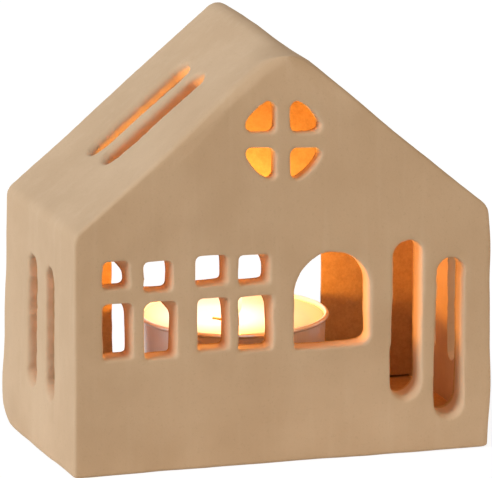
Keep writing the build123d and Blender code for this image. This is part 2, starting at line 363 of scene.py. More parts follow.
def opening(outline, wall, eased, undercut=NO_UNDERCUT, pull=0):
    """Cutter through a wall whose outer face is at depth 0.

    It is eased outwards, and undercut inwards, by lengths to its left, right, foot and head. Its right
    head corner is pulled in on the inside.
    """
    worked = wavering(outline, WAVER_LENGTH, WAVER)
    past = 1 + CUT_PAST / EASE_DEPTH
    outer = grown(worked, *(length * past for length in eased))
    inner = grown(worked, *undercut, pull)
    return prism([(-CUT_PAST, outer), (EASE_DEPTH, worked), (wall + CUT_PAST, inner)])


def sliced(bm, point, normal):
    """Cuts away what lies beyond a plane and closes the cut."""
    everything = bm.verts[:] + bm.edges[:] + bm.faces[:]
    cut = bmesh.ops.bisect_plane(
        bm, geom=everything, dist=MM / 10000, plane_co=point, plane_no=normal, clear_outer=True
    )
    rim = [part for part in cut["geom_cut"] if isinstance(part, bmesh.types.BMEdge)]
    bmesh.ops.triangle_fill(bm, edges=rim, use_beauty=True, normal=normal)


def placed(bm, turn, middle):
    """Turns a cutter and puts the origin of its outline on a wall's outer face."""
    bmesh.ops.rotate(bm, verts=bm.verts, cent=(0, 0, 0), matrix=turn)
    moved(bm, middle)
    return bm


def pane_cutters():
    """Cutters of the panes of the two windows."""
    cutters = []
    for pane in PANES:
        left, foot, width, height, head_corner, pull = (size * MM for size in pane)
        radii = (PANE_FOOT_CORNER, PANE_FOOT_CORNER, PANE_HEAD_CORNER, head_corner)
        outline = box_outline(left, foot, width, height, radii)
        cutters.append(opening(outline, FRONT_WALL, WINDOW_EASE, pull=pull))
    return cutters


def arch_cutter():
    """Cutter of the arched window."""
    radii = (ARCH_LEFT_CORNER, ARCH_RIGHT_CORNER, ARCH_HEAD_CORNER, ARCH_HEAD_CORNER)
    outline = box_outline(ARCH_LEFT, ARCH_FOOT, ARCH_WIDTH, ARCH_HEIGHT, radii)
    return opening(outline, FRONT_WALL, WINDOW_EASE, ARCH_UNDERCUT)


def tall_slot_cutter(x, foot, half):
    """Cutter of a tall slot, which leans a little to the right."""
    outline = []
    for point in box_outline(-half, 0, 2 * half, TALL_SLOT_LENGTH, [half * ROUND_END] * 4):
        lean = SLOT_LEAN * (point.y - SLOT_LEAN_ABOUT)
        outline.append(Vector((x + point.x + lean, foot + point.y)))
    return opening(outline, FRONT_WALL, TALL_SLOT_EASE)


def roundel_cutters():
    """Cutters of the four quarters of the roundel, with its cross left standing between them."""
    quarters = [quarter_outline(across, up) for across in (-1, 1) for up in (-1, 1)]
    return [opening(quarter, FRONT_WALL, ROUNDEL_EASE, ROUNDEL_UNDERCUT) for quarter in quarters]


def front_cutters():
    """Cutters of all the openings in the front wall."""
    tall_slots = [tall_slot_cutter(*slot) for slot in TALL_SLOTS]
    cutters = pane_cutters() + [arch_cutter()] + tall_slots + roundel_cutters()
    for bm in cutters:
        moved(bm, (0, FRONT, 0))
    return cutters


def side_slot(along, half, wall, ragged_by, eased, undercut):
    """Cutter of a ragged slot with round ends, at a distance along its wall."""
    slot = box_outline(-half, -SIDE_SLOT_LENGTH / 2, 2 * half, SIDE_SLOT_LENGTH, [half * ROUND_END] * 4)
    ragged = wavering([point + Vector((along, along)) for point in slot], RAGGED_LENGTH, ragged_by)
    return opening([point - Vector((along, along)) for point in ragged], wall, eased, undercut)


def wall_slot_cutters(side, half, quarter_turn):
    """Cutters of the two upright slots in a side wall."""
    height = WALL_SLOTS_HEIGHT + side * WALL_SLOTS_STAGGER
    middle = Vector((side * HALF_WIDTH, WALL_SLOTS_ALONG, height))
    cutters = []
    for along in (-WALL_SLOT_APART, WALL_SLOT_APART):
        slot = side_slot(along, half, SIDE_WALL, WALL_RAGGED, WALL_SLOT_EASE, NO_UNDERCUT)
        cutters.append(placed(slot, quarter_turn, middle + Vector((0, along, 0))))
    return cutters


def roof_slot_cutters(side, half, quarter_turn):
    """Cutters of the two slots that run up a roof slab, undercut towards the back."""
    slope = Matrix.Rotation(-side * (math.pi / 2 - PITCH), 3, "Y")
    height = RIDGE - ROOF_SLOTS_ASIDE * math.tan(PITCH)
    middle = Vector((side * ROOF_SLOTS_ASIDE, ROOF_SLOTS_ALONG, height))
    undercut = (ROOF_UNDERCUT, 0, 0, 0) if side < 0 else (0, ROOF_UNDERCUT, 0, 0)
    roof = SIDE_WALL + ROOF_EXTRA
    cutters = []
    for along in (-ROOF_SLOT_APART, ROOF_SLOT_APART):
        slot = side_slot(along, half + ROOF_SLOT_MORE, roof, ROOF_RAGGED, ROOF_SLOT_EASE, undercut)
        cutters.append(placed(slot, slope @ quarter_turn, middle + Vector((0, along, 0))))
    return cutters


def side_cutters():
    """Cutters of the slots in the side walls and in the roof slabs."""
    cutters = []
    for side in (-1, 1):
        half = SIDE_SLOT_WIDTH / 2 - (RIGHT_SLOT_LESS if side > 0 else 0)
        quarter_turn = Matrix.Rotation(side * math.pi / 2, 3, "Z")
        cutters += wall_slot_cutters(side, half, quarter_turn)
        cutters += roof_slot_cutters(side, half, quarter_turn)
    return cutters


def doorway_cutter():
    """Cutter of the doorway in the back wall, down to a sill just under the floor, wider on the outside."""
    radii = (0, 0, DOORWAY_CORNER, DOORWAY_CORNER)
    outline = box_outline(-DOORWAY_WIDTH / 2, 0, DOORWAY_WIDTH, DOORWAY_HEIGHT, radii)
    worked = wavering(outline, WAVER_LENGTH, WAVER)
    outer = grown(worked, DOORWAY_FLARE, DOORWAY_FLARE, 0, DOORWAY_HEAD_FLARE)
    bm = prism([(-CUT_PAST, outer), (BACK_WALL + CUT_PAST, worked)])
    half_turn = Matrix.Rotation(math.pi, 3, "Z")
    return placed(bm, half_turn, (DOORWAY_ASIDE, BACK, FLOOR_TOP - SILL_DROP))


def evaluated(piece):
    """The piece's mesh with its modifiers applied. The piece is used up."""
    graph = bpy.context.evaluated_depsgraph_get()
    mesh = bpy.data.meshes.new_from_object(piece.evaluated_get(graph))
    bpy.data.objects.remove(piece)
    return mesh


def without(bm, cutter):
    """What a cutter leaves of a bmesh. Both are used up."""
    piece = new_object("piece", bm, None)
    tool = new_object("tool", cutter, None)
    cut = piece.modifiers.new("cut", "BOOLEAN")
    cut.operation = "DIFFERENCE"
    cut.solver = "EXACT"
    cut.object = tool
    mesh = evaluated(piece)
    bpy.data.objects.remove(tool)
    left = bmesh.new()
    left.from_mesh(mesh)
    bpy.data.meshes.remove(mesh)
    return left


def worked_clay():
    """The block with its openings, gone soft at every edge, as a mesh that is not hollow yet."""
    openings = joined(front_cutters() + side_cutters() + [doorway_cutter()])
    block = new_object("block", without(house_block(), openings), None)
    remesh = block.modifiers.new("clay", "REMESH")
    remesh.mode = "VOXEL"
    remesh.voxel_size = CLAY_VOXEL
    soften = block.modifiers.new("soften", "SMOOTH")
    soften.factor = SOFTENING
    soften.iterations = SOFTENING_PASSES
    return evaluated(block)


def smooth_step(value, low, high):
    """0 at low, 1 at high, and smooth between: low may be the larger of the two."""
    share = min(max((value - low) / (high - low), 0), 1)
    return share * share * (3 - 2 * share)


def swelling(value, middle, reach):
    """1 at the middle, fading to 0 a reach or two away."""
    return math.exp(-(((value - middle) / reach) ** 2))


def roof_height(x):
    """Height of the roof at the front, before its ridge is rounded."""
    aside = x - RIDGE_ASIDE_FRONT
    run = HALF_WIDTH - math.copysign(RIDGE_ASIDE_FRONT, aside)
    return RIDGE - abs(aside) * (RIDGE - EAVES) / run


def worn_edge(first, second, radius):
    """How far a point goes in from two faces as their edge wears round, from its depths under them."""
    reach = math.hypot(radius - first, radius - second)
    if first > radius or second > radius or reach < radius:
        return 0, 0
    pull = 1 - radius / reach
    return (radius - first) * pull, (radius - second) * pull


def swells(value, rows):
    """How far swellings reach out at a place along X or Z, in millimetres."""
    return sum(size * swelling(value, middle * MM, reach * MM) for size, middle, reach in rows)


def left_swell(place):
    """How far the left wall swells out, most of all at its back edge, in millimetres."""
    back = swells(place.z, LEFT_SWELLS) * smooth_step(place.y, *BACK_FADE)
    foot = swells(place.z, LEFT_FOOT_SWELLS) * swelling(place.y, LEFT_FOOT_ALONG, LEFT_FOOT_REACH)
    return (back + foot) * smooth_step(-place.x, *SIDE_FADE)


def right_swell(place):
    """How far the right wall swells out, less so at its front foot, in millimetres."""
    front_foot = smooth_step(place.y, *FRONT_FADE) * smooth_step(place.z, *RIGHT_FOOT_FADE)
    swell = swells(place.z, RIGHT_SWELLS) - RIGHT_FOOT_TUCK * front_foot
    return swell * smooth_step(place.x, *SIDE_FADE)


def front_shift(place):
    """How far the front wall goes back, at its gable's top, or forwards, at its foot, in millimetres."""
    lean = GABLE_LEAN * smooth_step(place.z, *LEAN_FADE)
    spread = FOOT_SPREAD * smooth_step(place.x, *SPREAD_FADE) - FOOT_TUCK * smooth_step(place.x, *TUCK_FADE)
    foot_share = smooth_step(place.z, *FOOT_FADE)
    return smooth_step(place.y, *FRONT_FADE) * (lean - spread * foot_share)


def roof_shift(place):
    """How far the roof rises in its bulge and sinks in its dents, in millimetres."""
    bulge = swells(place.x, ROOF_BULGES) * smooth_step(place.y, *BULGE_FADE)
    left_dent = LEFT_DENT * smooth_step(place.y, *BACK_FADE) * smooth_step(place.x, *LEFT_DENT_FADE)
    right_dent = swells(place.x, RIGHT_DENTS)
    return (bulge - left_dent - right_dent) * smooth_step(place.z, *ROOF_FADE)


def swollen(place):
    """Where a point goes as the walls swell, the front foot spreads, and the roof bulges and dents."""
    across = right_swell(place) - left_swell(place)
    return place + MM * Vector((across, front_shift(place), roof_shift(place)))


def worn(place):
    """Where a point goes as the ridge rounds at the front, and the gable rim and left back foot wear."""
    moved_place = place.copy()
    arc_height = RIDGE - RIDGE_ROUND_FRONT / math.cos(PITCH)
    aside = Vector((place.x - RIDGE_ASIDE_FRONT, place.z - arc_height))
    if aside.length > RIDGE_ROUND_FRONT and abs(math.atan2(aside.x, aside.y)) < PITCH:
        pull = smooth_step(place.y, *RIDGE_FADE) * (RIDGE_ROUND_FRONT / aside.length - 1)
        moved_place.x += aside.x * pull
        moved_place.z += aside.y * pull
    roof_depth = (roof_height(moved_place.x) - moved_place.z) * math.cos(PITCH)
    rim_share = smooth_step(place.x, *GABLE_WEAR_LEFT) * smooth_step(place.x, *GABLE_WEAR_RIGHT)
    inwards, down = worn_edge(place.y - FRONT, roof_depth, GABLE_WEAR)
    moved_place += rim_share * Vector((0, inwards, -down))
    forwards, up = worn_edge(BACK - place.y, place.z, CORNER_WEAR)
    moved_place += smooth_step(place.x, *CORNER_WEAR_FADE) * Vector((0, -forwards, up))
    return moved_place


def hand_marks(bm):
    """Shallow dents and swellings all over, but for the flat foot."""
    bm.normal_update()
    offsets = []
    for vert in bm.verts:
        height = 0
        for length, depth in WAVES:
            height += noise.noise(vert.co / length) * depth
        offsets.append(vert.normal * height)
    for vert, offset in zip(bm.verts, offsets):
        vert.co = swollen(worn(vert.co + offset))
        vert.co.z = max(vert.co.z, 0)


def slab_planes():
    """For each slab, the planes that part it from the block: a point, and the way out of the slab."""
    left, right = (-CLEAR_HALF_WIDTH, 0, 0), (CLEAR_HALF_WIDTH + RIGHT_WALL_SWELL, 0, 0)
    floor_up = ((0, 0, FLOOR_TOP), (0, 0, 1))
    floor_down = ((0, 0, FLOOR_TOP), (0, 0, -1))
    eaves_up = ((0, 0, CLEAR_EAVES), (0, 0, 1))
    eaves_down = ((0, 0, CLEAR_EAVES), (0, 0, -1))
    between = [((0, FRONT_INNER, 0), (0, -1, 0)), ((0, BACK_INNER, 0), (0, 1, 0))]
    ridge = (0, 0, CLEAR_RIDGE)
    left_out = Vector((-math.sin(PITCH), 0, math.cos(PITCH)))
    right_out = Vector((math.sin(PITCH), 0, math.cos(PITCH)))
    ridge_seam = (RIDGE_ASIDE_FRONT, 0, 0)
    return {
        "floor_slab": [floor_up],
        "front_wall": [((0, FRONT_INNER, 0), (0, 1, 0)), floor_down],
        "back_wall": [((0, BACK_INNER, 0), (0, -1, 0)), floor_down],
        "left_wall": [(left, (1, 0, 0)), floor_down, eaves_up] + between,
        "right_wall": [(right, (-1, 0, 0)), floor_down, eaves_up] + between,
        "left_roof": [(ridge, -left_out), (ridge_seam, (1, 0, 0)), eaves_down] + between,
        "right_roof": [(ridge, -right_out), (ridge_seam, (-1, 0, 0)), eaves_down] + between,
    }


def seam_cutter():
    """Thin box that opens the seam between the back wall and the floor on the inside."""
    bm = bmesh.new()
    size = Vector((2 * CLEAR_HALF_WIDTH, SEAM_DEPTH + CUT_PAST, SEAM_GAP + CUT_PAST))
    bmesh.ops.create_cube(bm, size=1)
    bmesh.ops.scale(bm, verts=bm.verts, vec=size)
    moved(bm, (0, BACK_INNER + (SEAM_DEPTH - CUT_PAST) / 2, FLOOR_TOP + (SEAM_GAP - CUT_PAST) / 2))
    return bm


def clay_slabs(material):
    """The seven slabs, parted from one worked block so that their outsides run on across the seams."""
    whole = worked_clay()
    bm = bmesh.new()
    bm.from_mesh(whole)
    hand_marks(bm)
    bm.to_mesh(whole)
    bm.free()
    for name, planes in slab_planes().items():
        bm = bmesh.new()
        bm.from_mesh(whole)
        for point, normal in planes:
            sliced(bm, point, normal)
        bmesh.ops.recalc_face_normals(bm, faces=bm.faces)
        if name == "back_wall":
            bm = without(bm, seam_cutter())
        slab = new_object(f"clay_{name}", bm, material)
        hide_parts(name)
        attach(slab, "house")
    bpy.data.meshes.remove(whole)


# Tealight

# Cup, from the frame but for its foil, its rolled rim and its foot
cup_low, cup_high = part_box("foil_cup")
CUP_CENTRE = Vector(((cup_low[0] + cup_high[0]) / 2, (cup_low[1] + cup_high[1]) / 2, cup_low[2]))
CUP_HEIGHT = cup_high[2] - cup_low[2]
RIM_RADIUS = (cup_high[0] - cup_low[0]) / 2
FOIL = 0.35 * MM
RIM_ROLL = 1.0 * MM
ROLL_START = math.radians(-110)
BASE_RADIUS = 18.2 * MM
FOOT_RADIUS = 15.6 * MM
FOOT_RECESS = 0.5 * MM
HEEL_ROUND = 1.4 * MM
SPIN_STEPS = 96

# Wax, with heights over the foot of the cup
wax_low, wax_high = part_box("wax")
WAX_FOOT = wax_low[2] - cup_low[2] + FOOT_RECESS
WAX_TOP = wax_high[2] - cup_low[2]
WAX_RADIUS = (wax_high[0] - wax_low[0]) / 2
WAX_FOOT_RADIUS = 17.4 * MM
WAX_CLIMB = 1.1 * MM
WAX_CREEP = 3.0 * MM
POOL_DEPTH = 0.4 * MM
POOL_TOP = WAX_TOP - POOL_DEPTH

# Wick of twisted strands, bent over just under the top of the molten wax
WICK_RADIUS = 0.62 * MM
WICK_STRANDS = 3
WICK_GROOVE = 0.13
WICK_TWIST = math.radians(14)
WICK_STEP = 0.35 * MM
WICK_SUNK = 0.6 * MM
WICK_TURN = math.radians(78)
WICK_TURN_RADIUS = 0.8 * MM
WICK_TURN_STEPS = 9
WICK_TURN_TAPER = 0.93
WICK_TIP = 4.0 * MM
WICK_TIP_STEPS = 10
WICK_TIP_TAPER = 0.97

# Plate that holds the wick
PLATE_SHEET = 0.3 * MM
PLATE_NECK = 1.3 * MM
PLATE_BORE = 0.73 * MM
PLATE_RING = 0.6
PLATE_RING_STEP = 0.25 * MM
PLATE_CRIMP = 0.8

# Flame
FLAME_ASIDE = 0.5 * MM
FLAME_RISE = 1.2 * MM
FLAME_HEIGHT = 10.0 * MM
FLAME_RADIUS = 2.3 * MM
FLAME_FULLNESS = 1.25
FLAME_TAPER = 0.45
FLAME_DRAWN = 1.15


def arc(centre_radius, centre_height, radius, start, end, steps):
    """Points of an arc in a spun outline, as (radius, height)."""
    points = []
    for step in range(steps + 1):
        angle = start + (end - start) * step / steps
        across, up = radius * math.cos(angle), radius * math.sin(angle)
        points.append((centre_radius + across, centre_height + up))
    return points


def spun(outline, closed=False):
    """Turns an outline of (radius, height) points about the tealight's axis."""
    bm = bmesh.new()
    verts = [bm.verts.new((radius, 0, height)) for radius, height in outline]
    edges = [bm.edges.new(pair) for pair in zip(verts, verts[1:])]
    if closed:
        edges.append(bm.edges.new((verts[-1], verts[0])))
    bmesh.ops.spin(
        bm,
        geom=verts + edges,
        cent=(0, 0, 0),
        axis=(0, 0, 1),
        angle=math.tau,
        steps=SPIN_STEPS,
        use_merge=True,
    )
    bmesh.ops.remove_doubles(bm, verts=bm.verts, dist=MM / 1000)
    bmesh.ops.recalc_face_normals(bm, faces=bm.faces)
    return bm


def foil_cup(material):
    """Drawn cup: a recessed foot, a rounded heel, a tapered wall and a rim rolled outwards."""
    bead = RIM_ROLL / 2
    bead_centre = RIM_RADIUS - bead
    bead_height = CUP_HEIGHT - bead
    outside = [(0, FOOT_RECESS), (FOOT_RADIUS - FOOT_RECESS, FOOT_RECESS), (FOOT_RADIUS, 0)]
    outside += arc(BASE_RADIUS - HEEL_ROUND, HEEL_ROUND, HEEL_ROUND, -math.pi / 2, 0, 6)
    roll = arc(bead_centre, bead_height, bead, ROLL_START, math.pi, 14)
    inner_heel = HEEL_ROUND - FOIL
    inside = arc(BASE_RADIUS - HEEL_ROUND, HEEL_ROUND, inner_heel, 0, -math.pi / 2, 6)
    inside.append((FOOT_RADIUS, FOIL))
    inside += [(FOOT_RADIUS - FOOT_RECESS, FOOT_RECESS + FOIL), (0, FOOT_RECESS + FOIL)]
    bm = spun(outside + roll + inside)
    moved(bm, CUP_CENTRE)
    cup = new_object("tealight_cup", bm, material)
    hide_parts("foil_cup")
    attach(cup, "tealight")


def candle_wax(material):
    """Wax with a melted pool, drawn up a little where it meets the cup."""
    heel_centre = WAX_FOOT_RADIUS - HEEL_ROUND
    outline = [(0, WAX_FOOT), (heel_centre, WAX_FOOT)]
    outline += arc(heel_centre, WAX_FOOT + HEEL_ROUND, HEEL_ROUND, -math.pi / 2, 0, 5)[1:]
    outline.append((WAX_RADIUS, WAX_TOP + WAX_CLIMB))
    steps = 8
    for step in range(1, steps + 1):
        share = step / steps
        climb = (POOL_DEPTH + WAX_CLIMB) * (1 - share) ** 2
        outline.append((WAX_RADIUS - WAX_CREEP * share, POOL_TOP + climb))
    outline += [(WAX_RADIUS / 2, POOL_TOP), (WICK_RADIUS, POOL_TOP), (0, POOL_TOP)]
    bm = spun(outline)
    moved(bm, CUP_CENTRE)
    wax = new_object("tealight_wax", bm, material)
    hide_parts("wax")
    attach(wax, "candle")


def wick_ring(bm):
    """Foot of the wick: a disc whose rim has a groove between each two strands."""
    segments = 8 * WICK_STRANDS
    made = bmesh.ops.create_circle(bm, cap_ends=True, segments=segments, radius=WICK_RADIUS)
    ring = made["verts"]
    for vert in ring:
        angle = math.atan2(vert.co.y, vert.co.x)
        vert.co *= 1 - WICK_GROOVE * math.cos(WICK_STRANDS * angle)
    moved(bm, (0, 0, WAX_FOOT), ring)
    return ring


def wick(material):
    """Twisted cotton wick from the plate up through the wax, bent over to the left at its top."""
    bm = bmesh.new()
    ring = wick_ring(bm)
    face = bm.faces[:][0]
    position = Vector((0, 0, WAX_FOOT))
    heading = Vector((0, 0, 1))

    def grow(face, step, turn, taper):
        """Draws the wick on by a step, with the twist of its strands, a turn to the left and a taper."""
        made = bmesh.ops.extrude_face_region(bm, geom=[face])["geom"]
        bm.faces.remove(face)
        verts = [part for part in made if isinstance(part, bmesh.types.BMVert)]
        faces = [part for part in made if isinstance(part, bmesh.types.BMFace)]
        moved(bm, heading * step, verts)
        centre = position + heading * step
        bmesh.ops.rotate(bm, verts=verts, cent=centre, matrix=Matrix.Rotation(WICK_TWIST, 3, heading))
        bmesh.ops.rotate(bm, verts=verts, cent=centre, matrix=Matrix.Rotation(-turn, 3, "Y"))
        sizes = Vector((taper, taper, taper))
        bmesh.ops.scale(bm, verts=verts, vec=sizes, space=Matrix.Translation(-centre))
        return faces[0], centre

    length = POOL_TOP - WICK_SUNK - WAX_FOOT
    straight_steps = round(length / WICK_STEP)
    for step in range(straight_steps):
        face, position = grow(face, length / straight_steps, 0, 1)
    turn = WICK_TURN / WICK_TURN_STEPS
    for step in range(WICK_TURN_STEPS):
        face, position = grow(face, WICK_TURN_RADIUS * turn, turn, WICK_TURN_TAPER)
        heading = Matrix.Rotation(-turn, 3, "Y") @ heading
    for step in range(WICK_TIP_STEPS):
        face, position = grow(face, WICK_TIP / WICK_TIP_STEPS, 0, WICK_TIP_TAPER)
    bm.faces.new(ring)
    bmesh.ops.recalc_face_normals(bm, faces=bm.faces)
    moved(bm, CUP_CENTRE)
    piece = new_object("tealight_wick", bm, material)
    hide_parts("wick")
    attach(piece, "candle")


def wick_sustainer(material):
    """Pressed plate with a stiffening ring, and a neck crimped round the wick."""
    low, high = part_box("wick_sustainer")
    radius = (high[0] - low[0]) / 2
    height = high[2] - low[2]
    sheet, neck, bore, step = PLATE_SHEET, PLATE_NECK, PLATE_BORE, PLATE_RING_STEP
    ring = radius * PLATE_RING
    outline = [(bore, 0), (ring - step, 0), (ring, step), (ring + step, 0), (radius, 0), (radius, sheet)]
    outline += [(ring + step, sheet), (ring, sheet + step), (ring - step, sheet), (neck + sheet, sheet)]
    outline += [(neck, 2 * sheet), (neck, height * PLATE_CRIMP), (neck - sheet / 2, height), (bore, height)]
    bm = spun(outline, closed=True)
    moved(bm, (CUP_CENTRE.x, CUP_CENTRE.y, low[2] + FOOT_RECESS))
    piece = new_object("tealight_wick_plate", bm, material)
    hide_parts("wick_sustainer")
    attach(piece, "candle")


def flame_foot():
    """Where the flame stands: a little over the bend of the wick."""
    return CUP_CENTRE + Vector((-FLAME_ASIDE, 0, POOL_TOP + FLAME_RISE))


def flame(material):
    """Small steady flame: a drop drawn out to a point."""
    bm = bmesh.new()
    bmesh.ops.create_uvsphere(bm, u_segments=24, v_segments=20, radius=1)
    for vert in bm.verts:
        rise = (vert.co.z + 1) / 2
        swell = FLAME_RADIUS * (1 - rise) ** FLAME_TAPER * FLAME_FULLNESS
        vert.co = Vector((vert.co.x * swell, vert.co.y * swell, FLAME_HEIGHT * rise**FLAME_DRAWN))
    moved(bm, flame_foot())
    piece = new_object("tealight_flame", bm, material)
    piece.visible_shadow = False
    piece.visible_diffuse = False
    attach(piece, "candle")


# Finishes


class Wire:
    """An output of a shader node. Sums of wires and numbers add Math nodes."""

    def __init__(self, finish, socket):
        self.finish = finish
        self.socket = socket

    def sum(self, operation, first, second, clamp=False):
        inputs = {0: first, 1: second}
        return self.finish.add("ShaderNodeMath", inputs, operation=operation, use_clamp=clamp)[0]

    def __add__(self, other):
        return self.sum("ADD", self, other)

    def __radd__(self, other):
        return self.sum("ADD", other, self)

    def __sub__(self, other):
        return self.sum("SUBTRACT", self, other)

    def __rsub__(self, other):
        return self.sum("SUBTRACT", other, self)

    def __mul__(self, other):
        return self.sum("MULTIPLY", self, other)

    def __rmul__(self, other):
        return self.sum("MULTIPLY", other, self)

    def __truediv__(self, other):
        return self.sum("DIVIDE", self, other)

    def clamped(self):
        return self.sum("ADD", self, 0, clamp=True)


class Node:
    """A shader node, whose outputs are read by name or number."""

    def __init__(self, finish, node):
        self.finish = finish
        self.node = node

    def __getitem__(self, key):
        return Wire(self.finish, self.node.outputs[key])


class Finish:
    """The node tree of a material or of the world."""

    def __init__(self, owner):
        owner.use_nodes = True
        self.owner = owner
        self.tree = owner.node_tree
        self.tree.nodes.clear()

    def add(self, kind, inputs=None, stops=None, **settings):
        """Adds any node: its settings and ramp stops first, then the values or wires of its inputs."""
        node = self.tree.nodes.new(kind)
        for name, value in settings.items():
            setattr(node, name, value)
        if stops:
            ramp = node.color_ramp.elements
            while len(ramp) < len(stops):
                ramp.new(0.5)
            for element, (place, colour) in zip(ramp, stops):
                element.position = place
                element.color = (*colour, 1)
        for key, value in (inputs or {}).items():
            if isinstance(value, Wire):
                self.tree.links.new(value.socket, node.inputs[key])
            else:
                node.inputs[key].default_value = value
        return Node(self, node)

    def place(self):
        """Where a point lies in the shared frame."""
        return self.add("ShaderNodeTexCoord")["Object"]

    def noise(self, place, length, detail=2.0, roughness=0.5):
        """Soft noise from 0 to 1, with lumps of a length."""
        inputs = {"Vector": place, "Scale": 1 / length, "Detail": detail, "Roughness": roughness}
        return self.add("ShaderNodeTexNoise", inputs)["Fac"]

    def stretched(self, place, scale, offset=(0, 0, 0)):
        """Place with each axis moved and then scaled."""
        shifted = self.add("ShaderNodeVectorMath", {0: place, 1: offset}, operation="SUBTRACT")[0]
        return self.add("ShaderNodeVectorMath", {0: shifted, 1: scale}, operation="MULTIPLY")[0]

    def ramp(self, value, low, high):
        """0 below low and 1 above high, and smooth between."""
        inputs = {"Value": value, "From Min": low, "From Max": high}
        return self.add("ShaderNodeMapRange", inputs, interpolation_type="SMOOTHSTEP")[0]

    def blend(self, factor, first, second):
        """Mix of two colours."""
        inputs = {0: factor, 6: rgba(first), 7: rgba(second)}
        return self.add("ShaderNodeMix", inputs, data_type="RGBA")[2]

    def bump(self, height, strength, distance):
        """Normal bent by a height from 0 to 1."""
        inputs = {"Height": height, "Strength": strength, "Distance": distance}
        return self.add("ShaderNodeBump", inputs)[0]

    def surface(self, inputs):
        """Ends the tree in a Principled surface."""
        shader = self.add("ShaderNodeBsdfPrincipled", inputs)
        self.add("ShaderNodeOutputMaterial", {"Surface": shader[0]})


def rgba(colour):
    """A colour as a node wants it: wires stay as they are."""
    return colour if isinstance(colour, Wire) else (*colour, 1)


# How deep the smooth skin of the clay reaches, and how much deeper in the roof's slots and under the ridge
SKIN_DEPTH = (1.4 * MM, 2.2 * MM)
ROOF_SKIN = 1.5 * MM
RIDGE_SKIN = 3 * MM
RIDGE_SKIN_FADE = (3 * MM, 8 * MM)
FLOOR_SKIN_FADE = (FLOOR_TOP - 0.6 * MM, FLOOR_TOP - 0.2 * MM)


def under_the_skin(finish, place):
    """How deep a point lies below the outside of the house, less where the skin reaches deeper."""
    axes = finish.add("ShaderNodeSeparateXYZ", {0: place})
    from_middle = axes["X"].sum("ABSOLUTE", axes["X"], 0)
    roof = (RIDGE - axes["Z"]) * math.cos(PITCH) - from_middle * math.sin(PITCH)
    roof = roof - ROOF_SKIN - RIDGE_SKIN * (1 - finish.ramp(from_middle, *RIDGE_SKIN_FADE))
    wall = HALF_WIDTH - from_middle
    front = axes["Y"] - FRONT - (FRONT_WALL - SIDE_WALL)
    gable = wall.sum("MINIMUM", front, BACK - axes["Y"])
    depth = wall.sum("MINIMUM", wall.sum("MINIMUM", roof, wall), gable)
    return depth * finish.ramp(axes["Z"], *FLOOR_SKIN_FADE)


def clay_finish():
    """Matte unglazed clay: soft mottling, wiping streaks and fine grain, and darker, rough insides."""
    finish = Finish(bpy.data.materials.new("fired_clay"))
    place = finish.place()
    mottle = finish.noise(place, 16 * MM, 3, 0.55)
    cloud = finish.noise(finish.stretched(place, (1, 1, 1), (0.3, 0.1, 0.2)), 45 * MM, 2)
    streaks = finish.noise(finish.stretched(place, (1, 1, 0.08)), 2.4 * MM, 2)
    grain = finish.noise(place, 0.55 * MM, 3, 0.65)
    sand = finish.noise(place, 1.6 * MM, 3, 0.6)
    peel = finish.noise(place, 2.2 * MM, 2, 0.5)
    clay, pale_clay = (0.635, 0.452, 0.288), (0.70, 0.512, 0.337)
    clouded, wiped, speck = (0.67, 0.472, 0.295), (0.76, 0.59, 0.415), (0.42, 0.285, 0.175)
    inner_clay, pale_inner_clay = (0.45, 0.278, 0.111), (0.55, 0.353, 0.154)
    skin = finish.blend(finish.ramp(mottle, 0.3, 0.7), clay, pale_clay)
    skin = finish.blend(finish.ramp(cloud, 0.35, 0.65) * 0.35, skin, clouded)
    skin = finish.blend(finish.ramp(streaks, 0.5, 0.75) * 0.16, skin, wiped)
    skin = finish.blend(finish.ramp(grain, 0.56, 0.72) * 0.16, skin, speck)
    inside = finish.ramp(under_the_skin(finish, place), *SKIN_DEPTH)
    rough_clay = finish.blend(finish.ramp(grain + sand, 0.7, 1.3), inner_clay, pale_inner_clay)
    colour = finish.blend(inside, skin, rough_clay)
    rough = 0.86 + 0.1 * sand
    height = 0.45 * grain + 0.6 * sand + 0.4 * streaks + 2.4 * inside * peel
    normal = finish.bump(height, 0.45, 0.12 * MM)
    inputs = {"Base Color": colour, "Roughness": rough, "Normal": normal, "Specular IOR Level": 0.3}
    finish.surface(inputs)
    return finish.owner


def foil_finish():
    """Drawn aluminium foil with fine upright lines and a slight wave."""
    finish = Finish(bpy.data.materials.new("cup_aluminium"))
    place = finish.place()
    lines = finish.noise(finish.stretched(place, (1, 1, 0.03)), 0.5 * MM, 3, 0.6)
    wave = finish.noise(place, 5 * MM, 2)
    colour = finish.blend(lines, (0.84, 0.84, 0.84), (0.95, 0.95, 0.94))
    rough = 0.26 + 0.14 * lines
    normal = finish.bump(0.3 * lines + wave, 0.2, 0.15 * MM)
    finish.surface({"Base Color": colour, "Metallic": 0.5, "Roughness": rough, "Normal": normal})
    return finish.owner


# Where the painted light on the wax is brightest, seen from the middle of the cup, and how far it reaches
BRIGHT_SPOT = Vector((-1.8 * MM, 6.5 * MM, 0))
GLOW_REACH = 24 * MM


